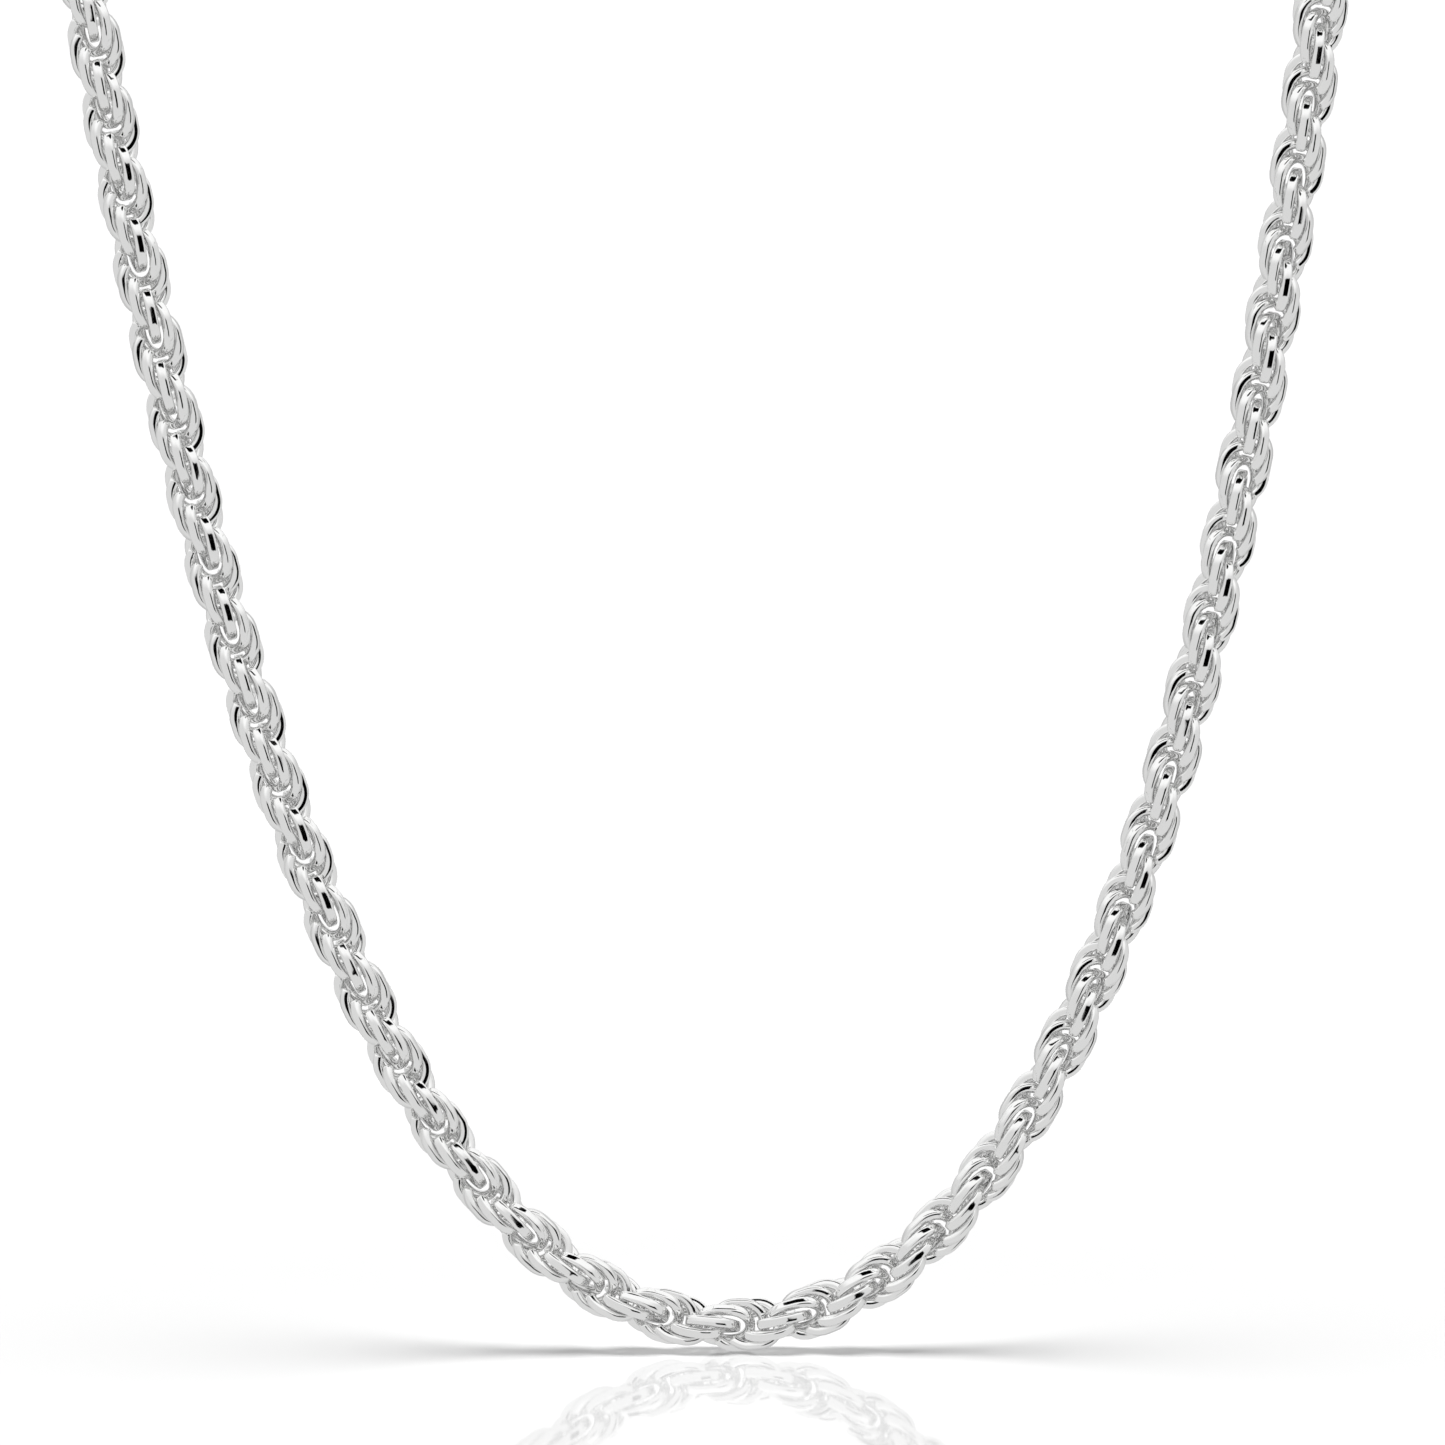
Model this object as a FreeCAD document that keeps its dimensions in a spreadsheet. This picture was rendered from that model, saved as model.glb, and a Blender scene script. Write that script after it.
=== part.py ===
import FreeCAD, Part
import os
from math import asinh, sqrt, sin, cos, radians, pi

V = FreeCAD.Vector

# Rope chain necklace with a lobster clasp, hanging the way it is worn.
# Units are millimetres.  The origin is the middle of the neck line at the nape,
# +Z is up, -Y is the side of the chest, +X is to the right seen from the front.
#
# The chain is a double spiral of open rings.  Each ring sits on the centre line,
# one pitch after the last, turned by a fixed angle, and the top of each ring lies
# in the openings of the rings a little further on.

doc = FreeCAD.newDocument("rope_chain")

sheet = doc.addObject("Spreadsheet::Sheet", "sizes")
rows = [
    # rope
    ("wire_radius", 0.48),           # 0.96 mm round wire
    ("ring_radius", 2.02),           # to the middle of the wire, so the rope is 5.0 mm thick
    ("ring_straight", 0.8),          # straight sides that make each ring a short oval
    ("ring_opening", 72.0),          # degrees left open in the lower end of each ring
    ("link_pitch", 1.345),           # along the centre line
    ("link_turn", 34.404),           # twist from ring to ring, degrees
    ("link_total", 392),
    ("links_in_length", 8),          # rings in one length of rope
    ("twist_offset", 3.75),          # distance from the lowest point to a waist of the spiral
    # line of the rope
    ("catenary_size", 22.0),
    ("catenary_lean", 1.33),         # the lowest point hangs a little to the right, degrees
    ("catenary_half", 150.0),        # length of rope in the hanging plane, each side
    ("lowest_x", 3.0),
    ("nape_back", 75.0),             # the nape lies this far behind the hanging plane
    ("nape_height", 165.0),          # and this far above the lowest point
    ("shoulder_reach", 44.0),        # how far each side keeps rising before it turns back
    ("nape_reach", 43.15),           # how far each side runs straight into the clasp
    # end caps
    ("cap_radius", 3.2),
    ("cap_bore_radius", 2.8),
    ("cap_depth", 4.4),
    ("cap_floor", 0.9),
    ("cap_bore_over", 0.5),          # the bore runs this far past the end of the rope
    ("cap_tip_radius", 1.05),
    ("cap_cone", 1.5),
    ("cap_rim_wire", 0.3),
    ("cap_rim_inset", 0.5),
    ("eye_radius", 1.5),
    ("eye_wire", 0.5),
    ("eye_offset", 3.8),             # from the end of the rope to the middle of the eye
    # rings
    ("jump_radius", 1.9),
    ("jump_wire", 0.45),
    ("end_ring_radius", 2.9),
    ("end_ring_wire", 0.5),
    ("ring_slack", 0.06),
    # lobster clasp
    ("hook_radius", 3.3),
    ("hook_wire", 0.9),
    ("hook_middle", 7.6),            # from the tail eye to the middle of the hook
    ("hook_start", 150.0),
    ("hook_sweep", 270.0),
    ("pin_along", 4.9),
    ("pin_across", 2.35),
    ("pin_radius", 0.4),
    ("pin_half", 1.3),
    ("pin_clearance", 0.03),
    ("housing_radius", 1.35),
    ("housing_half", 1.3),
    ("pocket_radius", 1.05),
    ("pocket_half", 0.8),
    ("gate_hub_radius", 0.92),
    ("gate_half", 0.72),
    ("gate_width", 0.8),
    ("gate_length", 4.4),
    ("gate_angle", 11.5),
    ("gate_stud_radius", 0.62),
    ("coil_radius", 0.66),
    ("coil_wire", 0.11),
    ("coil_pitch", 0.25),
    ("coil_height", 0.5),
]
for n, (name, value) in enumerate(rows, start=1):
    sheet.set("A%d" % n, name)
    sheet.set("B%d" % n, str(value))
    sheet.setAlias("B%d" % n, name)
doc.recompute()


def size(name):
    return float(sheet.get(name))


pitch = size("link_pitch")
total = int(size("link_total"))
per_length = int(size("links_in_length"))
eye_r = size("eye_radius")
eye_w = size("eye_wire")
eye_hole = eye_r - eye_w
slack = size("ring_slack")

# ---------------------------------------------------------------- the clasp line
# Places along the straight run at the nape, measured from the left cap's eye.
jump_at = eye_hole - size("jump_wire") - slack + size("jump_radius")
clasp_at = jump_at + size("jump_radius") + eye_hole - size("jump_wire") - slack
hook_inner_at = clasp_at + size("hook_middle") + size("hook_radius") - size("hook_wire")
end_ring_at = hook_inner_at - size("end_ring_wire") - slack + size("end_ring_radius")
right_eye_at = end_ring_at + size("end_ring_radius") + eye_hole - size("end_ring_wire") - slack
nape_run = right_eye_at + 2 * size("eye_offset")
left_end_x = -nape_run / 2
right_end_x = nape_run / 2
left_eye_x = left_end_x + size("eye_offset")

# ---------------------------------------------------------------- the rope's line
cat_a = size("catenary_size")
lean = radians(size("catenary_lean"))
half = size("catenary_half")
nape = V(0, size("nape_back"), size("nape_height"))
lowest = V(size("lowest_x"), 0, 0) - nape


def hanging_point(s):
    """Point of the hanging curve, s millimetres from its lowest point."""
    x = cat_a * asinh(s / cat_a)
    z = sqrt(cat_a * cat_a + s * s) - cat_a
    return lowest + V(x * cos(lean) - z * sin(lean), 0, x * sin(lean) + z * cos(lean))


def hanging_tangent(s):
    root = sqrt(cat_a * cat_a + s * s)
    x = cat_a / root
    z = s / root
    return V(x * cos(lean) - z * sin(lean), 0, x * sin(lean) + z * cos(lean))


def neck_point(t, p0, p1, p2, p3):
    """Point of the curve that rises from the chest and turns back to the nape."""
    u = 1 - t
    return p0 * (u ** 3) + p1 * (3 * u * u * t) + p2 * (3 * u * t * t) + p3 * (t ** 3)


def side_points(sign, end_x):
    """Closely spaced points from the lowest point to one end of the rope."""
    pts = [hanging_point(sign * half * k / 1500.0) for k in range(1501)]
    start = pts[-1]
    rise = hanging_tangent(sign * half) * (sign * size("shoulder_reach"))
    end = V(end_x, 0, 0)
    before = end + V(sign * size("nape_reach"), 0, 0)
    for k in range(1, 1001):
        pts.append(neck_point(k / 1000.0, start, start + rise, before, end))
    return pts


left_side = side_points(-1, left_end_x)
right_side = side_points(1, right_end_x)
line = left_side[::-1] + right_side[1:]
low_index = len(left_side) - 1
run = [0.0]
for k in range(1, len(line)):
    run.append(run[-1] + line[k].distanceToPoint(line[k - 1]))
rope_length = run[-1]
low_run = run[low_index]

# A frame that follows the line without twisting about it.
tangents = []
for k in range(len(line)):
    a = line[max(k - 1, 0)]
    b = line[min(k + 1, len(line) - 1)]
    tangents.append((b - a).normalize())
normals = [None] * len(line)
normals[low_index] = V(0, -1, 0).cross(tangents[low_index])
for step in (1, -1):
    k = low_index
    while 0 <= k + step < len(line):
        n = normals[k] - tangents[k + step] * normals[k].dot(tangents[k + step])
        normals[k + step] = n.normalize()
        k += step


def frame_at(s):
    """Point, tangent, normal and binormal, s millimetres from the rope's left end."""
    lo, hi = 0, len(run) - 1
    while hi - lo > 1:
        mid = (lo + hi) // 2
        if run[mid] <= s:
            lo = mid
        else:
            hi = mid
    f = (s - run[lo]) / (run[hi] - run[lo])
    point = line[lo] * (1 - f) + line[hi] * f
    t = (tangents[lo] * (1 - f) + tangents[hi] * f).normalize()
    n = normals[lo] * (1 - f) + normals[hi] * f
    n = (n - t * n.dot(t)).normalize()
    return point, t, n, t.cross(n)


def placement(origin, x_axis, y_axis, z_axis):
    m = FreeCAD.Matrix(
        x_axis.x, y_axis.x, z_axis.x, origin.x,
        x_axis.y, y_axis.y, z_axis.y, origin.y,
        x_axis.z, y_axis.z, z_axis.z, origin.z,
        0, 0, 0, 1)
    return FreeCAD.Placement(m)


nodes = []


def torus(label, radius_name, wire_name):
    ob = doc.addObject("Part::Torus", label)
    ob.setExpression("Radius1", "sizes." + radius_name)
    ob.setExpression("Radius2", "sizes." + wire_name)
    return ob


# ---------------------------------------------------------------- the rope's rings
# One open oval ring in its own plane: X is the outer side, Y runs along the rope,
# and the opening is in the middle of the lower end.
def ring_end(label, sweep, start, height):
    end = torus(label, "ring_radius", "wire_radius")
    end.setExpression("Angle3", sweep)
    end.Placement = FreeCAD.Placement(V(0, 0, 0), FreeCAD.Rotation(V(0, 0, 1), start))
    end.setExpression("Placement.Base.y", height)
    return end


def ring_side(label, across):
    side = doc.addObject("Part::Cylinder", label)
    side.setExpression("Radius", "sizes.wire_radius")
    side.setExpression("Height", "sizes.ring_straight")
    side.Placement = FreeCAD.Placement(V(0, 0, 0), FreeCAD.Rotation(V(1, 0, 0), -90))
    side.setExpression("Placement.Base.x", across)
    side.setExpression("Placement.Base.y", "-sizes.ring_straight / 2")
    return side


ring = doc.addObject("Part::MultiFuse", "ring")
ring.Shapes = [
    ring_end("ring_top", "180", 0, "sizes.ring_straight / 2"),
    ring_side("ring_outer_side", "sizes.ring_radius"),
    ring_side("ring_inner_side", "-sizes.ring_radius"),
    ring_end("ring_outer_foot", "90 - sizes.ring_opening / 2",
             size("ring_opening") / 2 - 90, "-sizes.ring_straight / 2"),
    ring_end("ring_inner_foot", "90 - sizes.ring_opening / 2", 180, "-sizes.ring_straight / 2"),
]
doc.recompute()
turn = radians(size("link_turn"))
first_ring = (rope_length - (total - 1) * pitch) / 2


def ring_placement(i):
    """Where ring i sits: its plane holds the rope's line, and it opens downwards."""
    s = first_ring + i * pitch
    origin, t, n, b = frame_at(s)
    angle = pi / 2 - (s - low_run - size("twist_offset")) * turn / pitch
    out = n * cos(angle) + b * sin(angle)
    return placement(origin, out, t, out.cross(t))


for g in range(total // per_length):
    members = []
    for i in range(g * per_length, (g + 1) * per_length):
        copy = doc.addObject("App::Link", "ring_%03d" % (i + 1))
        copy.LinkedObject = ring
        copy.Placement = ring_placement(i)
        members.append(copy)
    rope = doc.addObject("Part::Compound", "rope_%02d" % (g + 1))
    rope.Links = members
    nodes.append(rope)


# ---------------------------------------------------------------- helpers for fittings
def cylinder(label, radius, height):
    ob = doc.addObject("Part::Cylinder", label)
    ob.setExpression("Radius", radius)
    ob.setExpression("Height", height)
    return ob


def fuse(label, parts):
    ob = doc.addObject("Part::MultiFuse", label)
    ob.Shapes = parts
    ob.Refine = True
    return ob


def cut(label, base, tool):
    ob = doc.addObject("Part::Cut", label)
    ob.Base = base
    ob.Tool = tool
    ob.Refine = True
    return ob


X, Y, Z = V(1, 0, 0), V(0, 1, 0), V(0, 0, 1)


# ---------------------------------------------------------------- end caps
# Local frame of a cap: +Z runs away from the rope, z = 0 is the end of the rope,
# the eye lies in the local XZ plane.
def end_cap(label):
    shell = cylinder(label + "_shell", "sizes.cap_radius",
                     "sizes.cap_depth + sizes.cap_floor + 0.1")
    shell.setExpression("Placement.Base.z", "-sizes.cap_depth")
    cone = doc.addObject("Part::Cone", label + "_cone")
    cone.setExpression("Radius1", "sizes.cap_radius")
    cone.setExpression("Radius2", "sizes.cap_tip_radius")
    cone.setExpression("Height", "sizes.cap_cone")
    cone.setExpression("Placement.Base.z", "sizes.cap_floor + 0.1")
    eye = torus(label + "_eye", "eye_radius", "eye_wire")
    eye.Placement = FreeCAD.Placement(V(0, 0, 0), FreeCAD.Rotation(X, 90))
    eye.setExpression("Placement.Base.z", "sizes.eye_offset")
    rim = torus(label + "_rim", "cap_radius", "cap_rim_wire")
    rim.setExpression("Placement.Base.z", "-sizes.cap_depth + sizes.cap_rim_inset")
    bore = cylinder(label + "_bore", "sizes.cap_bore_radius",
                    "sizes.cap_depth + sizes.cap_bore_over + 1")
    bore.setExpression("Placement.Base.z", "-sizes.cap_depth - 1")
    body = fuse(label + "_body", [shell, cone, eye, rim])
    cap = cut(label, body, bore)
    nodes.append(cap)
    return cap


left_cap = end_cap("cap_left")
left_cap.Placement = placement(V(left_end_x, 0, 0), -Z, Y, X)
right_cap = end_cap("cap_right")
right_cap.Placement = placement(V(right_end_x, 0, 0), Z, Y, -X)

# ---------------------------------------------------------------- jump ring and end ring
# Both lie level, square to the eyes they pass through.
jump = torus("jump_ring", "jump_radius", "jump_wire")
jump.Placement = FreeCAD.Placement(V(left_eye_x + jump_at, 0, 0), FreeCAD.Rotation())
nodes.append(jump)
end_ring = torus("end_ring", "end_ring_radius", "end_ring_wire")
end_ring.Placement = FreeCAD.Placement(V(left_eye_x + end_ring_at, 0, 0), FreeCAD.Rotation())
nodes.append(end_ring)

# ---------------------------------------------------------------- lobster clasp
# Local frame of the clasp: origin in the tail eye, +X towards the hook, the hook
# lies in the local XY plane and the gate closes its +Y side.
clasp_place = placement(V(left_eye_x + clasp_at, 0, 0), X, -Z, Y)
pivot = V(size("pin_along"), size("pin_across"), 0)


def at_pivot(ob, depth, angle=0.0):
    """Stand a cylinder on the pivot line, starting at the named depth."""
    ob.Placement = FreeCAD.Placement(pivot, FreeCAD.Rotation(Z, angle))
    ob.setExpression("Placement.Base.x", "sizes.pin_along")
    ob.setExpression("Placement.Base.y", "sizes.pin_across")
    ob.setExpression("Placement.Base.z", depth)
    return ob


hook = torus("clasp_hook", "hook_radius", "hook_wire")
hook.setExpression("Angle3", "sizes.hook_sweep")
hook.Placement = FreeCAD.Placement(V(0, 0, 0), FreeCAD.Rotation(Z, size("hook_start")))
hook.setExpression("Placement.Base.x", "sizes.hook_middle")
nose = doc.addObject("Part::Sphere", "clasp_nose")
nose.setExpression("Radius", "sizes.hook_wire")
nose.setExpression("Placement.Base.x", "sizes.hook_middle + sizes.hook_radius"
                   " * cos((sizes.hook_start + sizes.hook_sweep) * 1 deg)")
nose.setExpression("Placement.Base.y", "sizes.hook_radius"
                   " * sin((sizes.hook_start + sizes.hook_sweep) * 1 deg)")
tail_eye = torus("clasp_tail_eye", "eye_radius", "eye_wire")
neck = doc.addObject("Part::Cone", "clasp_neck")
neck.Placement = FreeCAD.Placement(V(0, 0, 0), FreeCAD.Rotation(Y, 90))
neck.setExpression("Radius1", "sizes.eye_wire")
neck.setExpression("Radius2", "sizes.hook_wire")
neck.setExpression("Height", "sizes.hook_middle - sizes.hook_radius - sizes.eye_radius")
neck.setExpression("Placement.Base.x", "sizes.eye_radius")
housing = at_pivot(cylinder("clasp_housing", "sizes.housing_radius", "2 * sizes.housing_half"),
                   "-sizes.housing_half")
pocket = at_pivot(cylinder("clasp_pocket", "sizes.pocket_radius", "2 * sizes.pocket_half"),
                  "-sizes.pocket_half")
swing = at_pivot(cylinder("clasp_swing_room", "1.7 * sizes.pocket_radius",
                          "2 * sizes.pocket_half"), "-sizes.pocket_half", -64.0)
swing.Angle = 124.0
pin_hole = at_pivot(cylinder("clasp_pin_hole", "sizes.pin_radius", "2 * sizes.housing_half + 1"),
                    "-sizes.housing_half - 0.5")
clasp_solid = fuse("clasp_solid", [hook, nose, tail_eye, neck, housing])
clasp_room = fuse("clasp_room", [pocket, swing, pin_hole])
clasp = cut("clasp_body", clasp_solid, clasp_room)
clasp.Placement = clasp_place
nodes.append(clasp)

# The gate, in the same local frame turned to the gate's closed angle about the pivot.
bar = doc.addObject("Part::Box", "gate_bar")
bar.setExpression("Length", "sizes.gate_length - sizes.gate_width / 2")
bar.setExpression("Width", "sizes.gate_width")
bar.setExpression("Height", "2 * sizes.gate_half")
bar.setExpression("Placement.Base.y", "-sizes.gate_width / 2")
bar.setExpression("Placement.Base.z", "-sizes.gate_half")
tip = cylinder("gate_tip", "sizes.gate_width / 2", "2 * sizes.gate_half")
tip.setExpression("Placement.Base.x", "sizes.gate_length - sizes.gate_width / 2")
tip.setExpression("Placement.Base.z", "-sizes.gate_half")
hub = cylinder("gate_hub", "sizes.gate_hub_radius", "2 * sizes.gate_half")
hub.setExpression("Placement.Base.z", "-sizes.gate_half")
stud = cylinder("gate_stud", "sizes.gate_stud_radius", "2 * sizes.gate_half")
stud.setExpression("Placement.Base.x", "1.7")
stud.setExpression("Placement.Base.y", "0.75")
stud.setExpression("Placement.Base.z", "-sizes.gate_half")
gate_bore = cylinder("gate_bore", "sizes.pin_radius + sizes.pin_clearance",
                     "2 * sizes.gate_half + 1")
gate_bore.setExpression("Placement.Base.z", "-sizes.gate_half - 0.5")
coil_room = cylinder("gate_coil_room", "sizes.gate_hub_radius + 0.03", "sizes.gate_half + 0.1")
gate_solid = fuse("gate_solid", [bar, tip, hub, stud])
gate_room = fuse("gate_room", [gate_bore, coil_room])
gate = cut("clasp_gate", gate_solid, gate_room)
gate_place = FreeCAD.Placement(pivot, FreeCAD.Rotation(Z, -size("gate_angle")))
gate.Placement = clasp_place.multiply(gate_place)
nodes.append(gate)

pin = cylinder("gate_pin", "sizes.pin_radius", "2 * sizes.pin_half")
pin.Placement = clasp_place.multiply(
    FreeCAD.Placement(pivot - Z * size("pin_half"), FreeCAD.Rotation()))
nodes.append(pin)

# The gate's spring: a small coil round the pin, beside the gate's hub.
helix = doc.addObject("Part::Helix", "spring_line")
helix.setExpression("Pitch", "sizes.coil_pitch")
helix.setExpression("Height", "sizes.coil_height")
helix.setExpression("Radius", "sizes.coil_radius")
helix.SegmentLength = 0.125
wire = doc.addObject("Part::Circle", "spring_wire")
wire.setExpression("Radius", "sizes.coil_wire")
wire.Placement = FreeCAD.Placement(V(size("coil_radius"), 0, 0), FreeCAD.Rotation(X, 90))
spring = doc.addObject("Part::Sweep", "gate_spring")
spring.Sections = [wire]
doc.recompute()
spring.Spine = (helix, ["Edge%d" % (n + 1) for n in range(len(helix.Shape.Edges))])
spring.Solid = True
spring.Frenet = True
spring.Placement = clasp_place.multiply(
    FreeCAD.Placement(pivot + Z * (size("coil_wire") + 0.03), FreeCAD.Rotation()))
nodes.append(spring)

# ---------------------------------------------------------------- check and export
doc.recompute()
for ob in doc.Objects:
    if "Invalid" in ob.State or "Error" in ob.State:
        raise RuntimeError("%s did not recompute" % ob.Label)
for ob in nodes:
    if ob.Shape.isNull() or not ob.Shape.isValid() or len(ob.Shape.Solids) < 1:
        raise RuntimeError("%s has no valid solid" % ob.Label)
print("rope length %.3f, first ring at %.3f" % (rope_length, first_ring))
print("nape run %.3f, whole necklace %.1f" % (nape_run, rope_length + nape_run))

os.makedirs("parts", exist_ok=True)
for ob in nodes:
    ob.Shape.exportStep("parts/%s.step" % ob.Label)
    print(ob.Label, len(ob.Shape.Solids), "solids, volume %.3f" % ob.Shape.Volume)
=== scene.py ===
import bpy
from math import asinh, sqrt, sin, cos, radians, pi
from mathutils import Vector, Matrix


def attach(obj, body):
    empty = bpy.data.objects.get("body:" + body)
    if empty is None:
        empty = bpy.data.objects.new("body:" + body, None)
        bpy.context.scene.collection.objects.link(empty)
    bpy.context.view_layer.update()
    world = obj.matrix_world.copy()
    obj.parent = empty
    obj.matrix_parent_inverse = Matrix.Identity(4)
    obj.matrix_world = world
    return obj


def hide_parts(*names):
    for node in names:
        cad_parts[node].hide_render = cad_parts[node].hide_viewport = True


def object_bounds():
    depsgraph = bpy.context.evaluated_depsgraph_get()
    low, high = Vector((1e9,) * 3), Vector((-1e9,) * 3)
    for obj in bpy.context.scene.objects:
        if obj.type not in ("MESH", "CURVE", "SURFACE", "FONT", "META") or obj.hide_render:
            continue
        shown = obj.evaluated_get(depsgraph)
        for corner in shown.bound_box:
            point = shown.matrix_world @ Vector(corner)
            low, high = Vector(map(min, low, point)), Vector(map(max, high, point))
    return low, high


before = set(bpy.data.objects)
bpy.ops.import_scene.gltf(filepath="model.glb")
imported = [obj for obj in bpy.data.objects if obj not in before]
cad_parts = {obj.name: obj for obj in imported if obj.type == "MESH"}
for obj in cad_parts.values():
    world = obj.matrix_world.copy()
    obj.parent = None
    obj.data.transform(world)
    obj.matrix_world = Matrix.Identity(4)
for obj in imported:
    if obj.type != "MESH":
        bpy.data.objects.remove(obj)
cad_lo, cad_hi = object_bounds()
scene = bpy.context.scene
scene.view_settings.view_transform = "Standard"

MM = 0.001                      # the rope's sizes are in millimetres, as in the CAD

# ------------------------------------------------------------------ sizes of the rope
WIRE_R = 0.48
RING_R = 2.02                   # to the middle of the wire
STRAIGHT = 0.8                  # straight sides that make each ring a short oval
OPENING = radians(72.0)
PITCH = 1.345                   # from ring to ring along the line
TURN = radians(34.404)          # twist from ring to ring
TWIST_OFFSET = 3.75             # from the lowest point to a waist of the spiral
PER_LENGTH = 8                  # rings in one length of rope
LENGTHS = 49

# The line is a tilted catenary in front and one smooth curve back over each shoulder.
CATENARY_SIZE = 22.0
LEAN = radians(1.33)
HALF = 150.0                    # hanging rope on each side of the lowest point
NAPE = Vector((0, 75.0, 165.0))
LOWEST = Vector((3.0, 0, 0)) - NAPE
SHOULDER_REACH = 44.0
NAPE_REACH = 43.15
END_X = 14.03                   # where the rope ends in its cap
CATENARY_STEPS = 1500
SHOULDER_STEPS = 1000


# ------------------------------------------------------------------ the rope's line
def leaning(x, z):
    """A step in the upright plane of the hanging rope, tilted sideways."""
    return Vector((x * cos(LEAN) - z * sin(LEAN), 0, x * sin(LEAN) + z * cos(LEAN)))


def hanging_point(s):
    x = CATENARY_SIZE * asinh(s / CATENARY_SIZE)
    z = sqrt(CATENARY_SIZE * CATENARY_SIZE + s * s) - CATENARY_SIZE
    return LOWEST + leaning(x, z)


def hanging_tangent(s):
    root = sqrt(CATENARY_SIZE * CATENARY_SIZE + s * s)
    return leaning(CATENARY_SIZE / root, s / root)


def side_points(sign):
    """One side of the rope, from its lowest point to its end at the nape."""
    points = [hanging_point(sign * HALF * k / CATENARY_STEPS) for k in range(CATENARY_STEPS + 1)]
    top = points[-1]
    above_top = top + hanging_tangent(sign * HALF) * (sign * SHOULDER_REACH)
    end = Vector((sign * END_X, 0, 0))
    beside_end = end + Vector((sign * NAPE_REACH, 0, 0))
    for k in range(1, SHOULDER_STEPS + 1):
        t = k / SHOULDER_STEPS
        u = 1 - t
        points.append(top * u ** 3 + above_top * (3 * u * u * t)
                      + beside_end * (3 * u * t * t) + end * t ** 3)
    return points


left_side = side_points(-1)
right_side = side_points(1)
line = left_side[::-1] + right_side[1:]
low = len(left_side) - 1        # the lowest point's place in the list

run = [0.0]                     # distance along the line
for k in range(1, len(line)):
    run.append(run[-1] + (line[k] - line[k - 1]).length)

tangents = []
for k in range(len(line)):
    before = line[max(k - 1, 0)]
    after = line[min(k + 1, len(line) - 1)]
    tangents.append((after - before).normalized())

# Directions square to the line, which follow it without twisting about it.
normals = [None] * len(line)
normals[low] = Vector((0, -1, 0)).cross(tangents[low])
for step in (1, -1):
    k = low
    while 0 <= k + step < len(line):
        tangent = tangents[k + step]
        normals[k + step] = (normals[k] - tangent * normals[k].dot(tangent)).normalized()
        k += step


def frame_at(s):
    """At distance s along the line: the point, the tangent and two directions square to it."""
    lo, hi = 0, len(run) - 1
    while hi - lo > 1:
        mid = (lo + hi) // 2
        if run[mid] <= s:
            lo = mid
        else:
            hi = mid
    f = (s - run[lo]) / (run[hi] - run[lo])
    point = line[lo].lerp(line[hi], f)
    tangent = tangents[lo].lerp(tangents[hi], f).normalized()
    normal = normals[lo].lerp(normals[hi], f)
    normal = (normal - tangent * normal.dot(tangent)).normalized()
    return point, tangent, normal, tangent.cross(normal)


# ------------------------------------------------------------------ one ring
AROUND = 24                     # points round the wire
FOOT_STEPS = 10                 # steps along the wire on each side of the opening
BACK_STEPS = 28                 # steps along the closed half of the ring
ROUND_POWER = 2.0               # the power that makes a circle; more makes it squarer
FLATTENED = 4.0                 # added to it in the middle of the wire's outer face
# The rounded end of the wire: how far along and how thick, both in wire radii.
SOFT_END = ((0.0, 0.5), (0.08, 0.72), (0.2, 0.88), (0.36, 0.97))


def ring_line():
    """The middle of an open oval ring: point, outward direction, and how thick it is."""
    foot = pi / 2 - OPENING / 2
    low_y = -STRAIGHT / 2
    arcs = []
    for where, thick in SOFT_END:
        arcs.append((-foot + where * WIRE_R / RING_R, low_y, thick))
    for k in range(1, FOOT_STEPS + 1):
        arcs.append((-foot + foot * k / FOOT_STEPS, low_y, 1.0))
    for k in range(BACK_STEPS + 1):
        arcs.append((pi * k / BACK_STEPS, -low_y, 1.0))
    for k in range(FOOT_STEPS):
        arcs.append((pi + foot * k / FOOT_STEPS, low_y, 1.0))
    for where, thick in reversed(SOFT_END):
        arcs.append((pi + foot - where * WIRE_R / RING_R, low_y, thick))
    return [(RING_R * cos(a), RING_R * sin(a) + y, cos(a), sin(a), thick) for a, y, thick in arcs]


def wire_section(angle):
    """Round wire whose outer face is rolled a little flat; returns across and outward."""
    c, s = cos(angle), sin(angle)
    if c <= 0:
        return s, c
    power = ROUND_POWER + FLATTENED * c * c
    reach = (abs(c) ** power + abs(s) ** power) ** (-1 / power)
    return s * reach, c * reach


def ring_shape():
    """Points and faces of one ring in its own plane, closed at both ends of the wire."""
    points, faces = [], []
    steps = ring_line()
    for x, y, out_x, out_y, thick in steps:
        for j in range(AROUND):
            across, out = wire_section(2 * pi * j / AROUND)
            across, out = across * WIRE_R * thick, out * WIRE_R * thick
            points.append(Vector((x + out_x * out, y + out_y * out, across)))
    for k in range(len(steps) - 1):
        for j in range(AROUND):
            a = k * AROUND + j
            b = k * AROUND + (j + 1) % AROUND
            faces.append((a, a + AROUND, b + AROUND, b))
    faces.append(tuple(range(AROUND)))
    last = (len(steps) - 1) * AROUND
    faces.append(tuple(last + j for j in reversed(range(AROUND))))
    return points, faces


ring_points, ring_faces = ring_shape()
FIRST_RING = (run[-1] - (LENGTHS * PER_LENGTH - 1) * PITCH) / 2


def ring_matrix(i):
    """The place of ring i: its plane holds the rope's line, which runs along its Y."""
    s = FIRST_RING + i * PITCH
    origin, tangent, normal, side = frame_at(s)
    angle = pi / 2 - (s - run[low] - TWIST_OFFSET) * TURN / PITCH
    out = normal * cos(angle) + side * sin(angle)
    z = out.cross(tangent)
    return Matrix(((out.x, tangent.x, z.x, origin.x), (out.y, tangent.y, z.y, origin.y),
                   (out.z, tangent.z, z.z, origin.z), (0, 0, 0, 1)))


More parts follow.
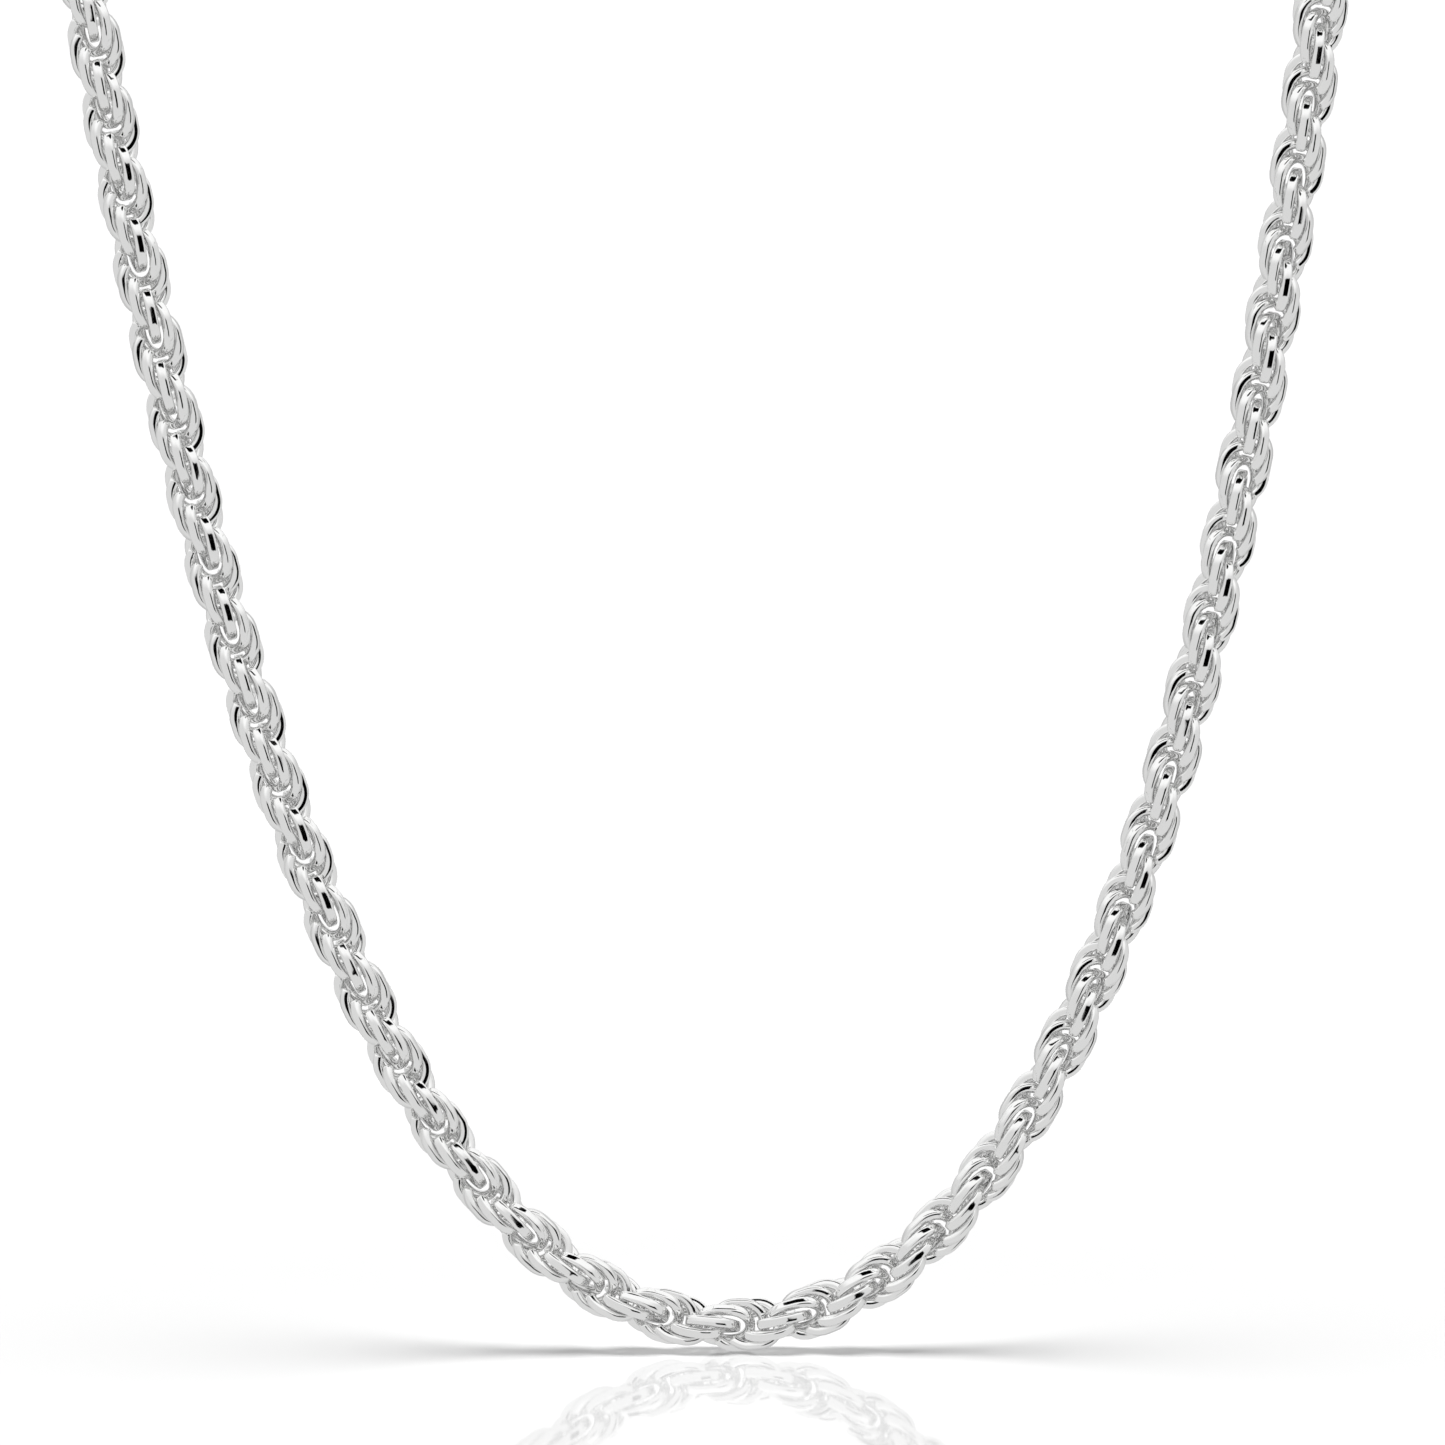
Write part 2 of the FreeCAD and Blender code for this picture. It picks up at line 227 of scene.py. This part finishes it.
# ------------------------------------------------------------------ materials
CLOUD_LOW, CLOUD_HIGH = 0.3, 0.7            # the part of the noise that roughness follows
MARKS_FINER = 7                             # how much finer polishing marks are than clouds
CLOUD_DETAIL, MARKS_DETAIL = 3.0, 2.0
MARK_HEIGHT = 0.00002
PAINTED_SHADE_REACH = 0.0011                       # how close a neighbour must be for painted shade in a recess
PAINTED_SHADE_SAMPLES = 4
PAINTED_SHADE_DARK, PAINTED_SHADE_LIGHT = 0.15, 0.75      # how open a place is at the two tones of the painted shade


def noise(nodes, connect, scale, detail):
    """Noise that moves with the metal."""
    where = nodes.new("ShaderNodeTexCoord")
    texture = nodes.new("ShaderNodeTexNoise")
    texture.inputs["Scale"].default_value = scale
    texture.inputs["Detail"].default_value = detail
    connect(where.outputs["Object"], texture.inputs["Vector"])
    return texture.outputs["Fac"]


def metal(name, light, recess_shade, rough, grain, bump):
    """Polished metal: faint cloudiness, fine polishing marks, and painted shade that darkens the
    colour in recesses.
    """
    mat = bpy.data.materials.new(name)
    mat.use_nodes = True
    nodes = mat.node_tree.nodes
    connect = mat.node_tree.links.new
    bsdf = nodes["Principled BSDF"]
    bsdf.inputs["Metallic"].default_value = 1.0

    roughness = nodes.new("ShaderNodeMapRange")
    roughness.inputs["From Min"].default_value = CLOUD_LOW
    roughness.inputs["From Max"].default_value = CLOUD_HIGH
    roughness.inputs["To Min"].default_value = rough[0]
    roughness.inputs["To Max"].default_value = rough[1]
    connect(noise(nodes, connect, grain, CLOUD_DETAIL), roughness.inputs["Value"])
    connect(roughness.outputs["Result"], bsdf.inputs["Roughness"])

    # Painted shade: the base colour turns darker where other metal is close, in the recesses between
    # parts.
    painted_shade = nodes.new("ShaderNodeAmbientOcclusion")
    painted_shade.samples = PAINTED_SHADE_SAMPLES
    painted_shade.inputs["Distance"].default_value = PAINTED_SHADE_REACH
    shaded_tone = nodes.new("ShaderNodeValToRGB")
    shaded_end, unshaded_end = shaded_tone.color_ramp.elements
    shaded_end.position = PAINTED_SHADE_DARK
    shaded_end.color = (*recess_shade, 1)
    unshaded_end.position = PAINTED_SHADE_LIGHT
    unshaded_end.color = (*light, 1)
    connect(painted_shade.outputs["AO"], shaded_tone.inputs["Fac"])
    connect(shaded_tone.outputs["Color"], bsdf.inputs["Base Color"])

    relief = nodes.new("ShaderNodeBump")
    relief.inputs["Strength"].default_value = bump
    relief.inputs["Distance"].default_value = MARK_HEIGHT
    connect(noise(nodes, connect, grain * MARKS_FINER, MARKS_DETAIL), relief.inputs["Height"])
    connect(relief.outputs["Normal"], bsdf.inputs["Normal"])
    return mat


# The darker colour of each metal is painted shade for its recesses.
rope_mat = metal("rope_silver", light=(0.96, 0.96, 0.955), recess_shade=(0.88, 0.88, 0.88),
                 rough=(0.05, 0.11), grain=900, bump=0.10)
fitting_mat = metal("fitting_silver", light=(0.95, 0.95, 0.945), recess_shade=(0.80, 0.80, 0.80),
                    rough=(0.08, 0.16), grain=700, bump=0.12)
steel_mat = metal("trim_steel", light=(0.72, 0.72, 0.73), recess_shade=(0.4, 0.4, 0.41),
                  rough=(0.18, 0.3), grain=1200, bump=0.3)

# ------------------------------------------------------------------ the rope, length by length
for g in range(LENGTHS):
    name = "rope_%02d" % (g + 1)
    verts, faces = [], []
    for i in range(g * PER_LENGTH, (g + 1) * PER_LENGTH):
        place = ring_matrix(i)
        base = len(verts)
        verts += [(place @ point) * MM for point in ring_points]
        faces += [tuple(base + q for q in face) for face in ring_faces]
    mesh = bpy.data.meshes.new(name + "_rings")
    mesh.from_pydata(verts, [], faces)
    mesh.polygons.foreach_set("use_smooth", [True] * len(mesh.polygons))
    mesh.materials.append(rope_mat)
    ob = bpy.data.objects.new(name + "_rings", mesh)
    scene.collection.objects.link(ob)
    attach(ob, name)
    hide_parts(name)

# ------------------------------------------------------------------ the fittings, as in the CAD
SILVER_PIECES = ("cap_left", "cap_right", "jump_ring", "end_ring", "clasp_body", "clasp_gate")
STEEL_PIECES = ("gate_pin", "gate_spring")
for name in SILVER_PIECES + STEEL_PIECES:
    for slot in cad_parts[name].material_slots:
        slot.material = steel_mat if name in STEEL_PIECES else fitting_mat

# ------------------------------------------------------------------ the floor
FLOOR_REACH = 8.0
FLOOR_COLOUR = (0.95, 0.95, 0.95, 1)
MIRROR_ROUGHNESS = 0.04
MIRROR_SHARE = 0.35             # how much of the floor's look is mirror
floor_z = cad_lo[2]
corners = [(x * FLOOR_REACH, y * FLOOR_REACH, floor_z)
           for x, y in ((-1, -1), (1, -1), (1, 1), (-1, 1))]
floor_mesh = bpy.data.meshes.new("floor")
floor_mesh.from_pydata(corners, [], [(0, 1, 2, 3)])
floor = bpy.data.objects.new("floor", floor_mesh)
scene.collection.objects.link(floor)
floor.visible_glossy = False

floor_mat = bpy.data.materials.new("pale_floor")
floor_mat.use_nodes = True
nodes = floor_mat.node_tree.nodes
connect = floor_mat.node_tree.links.new
nodes.remove(nodes["Principled BSDF"])
matt = nodes.new("ShaderNodeBsdfDiffuse")
matt.inputs["Color"].default_value = FLOOR_COLOUR
gloss = nodes.new("ShaderNodeBsdfAnisotropic")
gloss.inputs["Color"].default_value = (1, 1, 1, 1)
gloss.inputs["Roughness"].default_value = MIRROR_ROUGHNESS
both = nodes.new("ShaderNodeMixShader")
both.inputs["Fac"].default_value = MIRROR_SHARE
connect(matt.outputs["BSDF"], both.inputs[1])
connect(gloss.outputs["BSDF"], both.inputs[2])
connect(both.outputs["Shader"], nodes["Material Output"].inputs["Surface"])
floor_mesh.materials.append(floor_mat)

# ------------------------------------------------------------------ the light tent
# A white tent that is grey below and behind.  Two dark gaps in it, a small one in front on
# the right and a wide one high up, draw the dark marks on the silver.  A white backdrop stands
# low behind the necklace, for the mirror of the floor.  The camera itself sees plain white,
# and matt surfaces get only a little of the tent, so that the top light's shadow shows.
TENT_TOP, TENT_BELOW, TENT_BEHIND = 1.0, 0.71, 0.75
TOP_FROM, TOP_FULL = radians(10), radians(42)       # how high the lower grey turns white
BEHIND_FROM, BEHIND_FULL = 0.25, 0.85               # how far behind it turns grey
BEHIND_TOP, BEHIND_NONE = radians(20), radians(45)  # and how high up that grey ends
GAP_LEFT, GAP_RIGHT = radians(8), radians(50)
GAP_LOW, GAP_HIGH = radians(-24), radians(12)
HIGH_GAP_SIDE = radians(75)
HIGH_GAP_LOW, HIGH_GAP_HIGH = radians(58), radians(84)
GAP_SOFT = radians(2)
BACKDROP_EDGE, BACKDROP_FULL = 0.93, 0.98           # how far behind it starts
BACKDROP_TOP, BACKDROP_NONE = radians(15), radians(20)      # and how high up it ends
MATT_BRIGHTNESS = 0.04                              # of the tent, for matt surfaces

world = bpy.data.worlds.new("tent")
scene.world = world
world.use_nodes = True
nodes = world.node_tree.nodes
connect = world.node_tree.links.new


def math(operation, *values):
    """A calculation with numbers and with the outputs of the world's other nodes."""
    node = nodes.new("ShaderNodeMath")
    node.operation = operation
    for socket, value in zip(node.inputs, values):
        if isinstance(value, (int, float)):
            socket.default_value = value
        else:
            connect(value, socket)
    return node.outputs[0]


def ramp(value, lo, hi, out_lo, out_hi):
    """A soft change from out_lo to out_hi while the value goes from lo to hi."""
    node = nodes.new("ShaderNodeMapRange")
    node.interpolation_type = "SMOOTHSTEP"
    for name, number in (("From Min", lo), ("From Max", hi), ("To Min", out_lo), ("To Max", out_hi)):
        node.inputs[name].default_value = number
    connect(value, node.inputs["Value"])
    return node.outputs["Result"]


def between(value, lo, hi):
    """1 where the value is between lo and hi, and 0 elsewhere, with soft edges."""
    return math("MULTIPLY", ramp(value, lo - GAP_SOFT, lo + GAP_SOFT, 0, 1),
                ramp(value, hi - GAP_SOFT, hi + GAP_SOFT, 1, 0))


ray = nodes.new("ShaderNodeTexCoord")
axes = nodes.new("ShaderNodeSeparateXYZ")
connect(ray.outputs["Generated"], axes.inputs[0])
east, north, up = axes.outputs
rise = math("ARCSINE", up)
bearing = math("ARCTAN2", east, math("MULTIPLY", north, -1.0))      # 0 is straight in front

sky = ramp(rise, TOP_FROM, TOP_FULL, TENT_BELOW, TENT_TOP)
behind = ramp(north, BEHIND_FROM, BEHIND_FULL, 1.0, TENT_BEHIND)
low_half = ramp(rise, BEHIND_TOP, BEHIND_NONE, 1.0, 0.0)
shade = math("ADD", math("MULTIPLY", math("SUBTRACT", behind, 1.0), low_half), 1.0)
gap = math("MULTIPLY", between(bearing, GAP_LEFT, GAP_RIGHT), between(rise, GAP_LOW, GAP_HIGH))
high_gap = math("MULTIPLY", between(bearing, -HIGH_GAP_SIDE, HIGH_GAP_SIDE),
                between(rise, HIGH_GAP_LOW, HIGH_GAP_HIGH))
tent = math("MULTIPLY", math("MULTIPLY", sky, shade),
            math("SUBTRACT", 1.0, math("MAXIMUM", gap, high_gap)))
backdrop = math("MULTIPLY", ramp(north, BACKDROP_EDGE, BACKDROP_FULL, 0, 1),
                ramp(rise, BACKDROP_TOP, BACKDROP_NONE, 1, 0))
tent = math("MAXIMUM", tent, backdrop)

path = nodes.new("ShaderNodeLightPath")
diffuse_ray = path.outputs["Is Diffuse Ray"]
tent = math("ADD", math("MULTIPLY", tent, math("SUBTRACT", 1.0, diffuse_ray)),
            math("MULTIPLY", diffuse_ray, MATT_BRIGHTNESS))
tent = math("MAXIMUM", tent, path.outputs["Is Camera Ray"])
connect(tent, nodes["Background"].inputs["Strength"])
nodes["Background"].inputs["Color"].default_value = (1, 1, 1, 1)

# ------------------------------------------------------------------ the top light
# A soft light straight above draws the line of shadow under the rope.
TOP_ENERGY = 3.3
TOP_SPREAD = radians(30)
top_data = bpy.data.lights.new("top_light", "SUN")
top_data.energy = TOP_ENERGY
top_data.angle = TOP_SPREAD
top = bpy.data.objects.new("top_light", top_data)
scene.collection.objects.link(top)
top.visible_glossy = False

# ------------------------------------------------------------------ camera
VIEW_WIDTH = 0.1338             # what the camera takes in at the plane of the hanging rope
DISTANCE = 0.80
ELEVATION = radians(6.0)
AIM_LEFT, AIM_UP = 0.00143, 0.0565      # from the rope's lowest point to the middle of the view
SENSOR = 36.0
NEAR, FAR = 0.01, 20
cam_data = bpy.data.cameras.new("camera")
cam_data.sensor_width = SENSOR
cam_data.lens = SENSOR * DISTANCE / VIEW_WIDTH
cam_data.clip_start = NEAR
cam_data.clip_end = FAR
cam = bpy.data.objects.new("camera", cam_data)
scene.collection.objects.link(cam)
centre = Vector((LOWEST.x * MM - AIM_LEFT, LOWEST.y * MM, LOWEST.z * MM + AIM_UP))
cam.location = centre + Vector((0, -DISTANCE * cos(ELEVATION), DISTANCE * sin(ELEVATION)))
cam.rotation_euler = (pi / 2 - ELEVATION, 0, 0)
scene.camera = cam
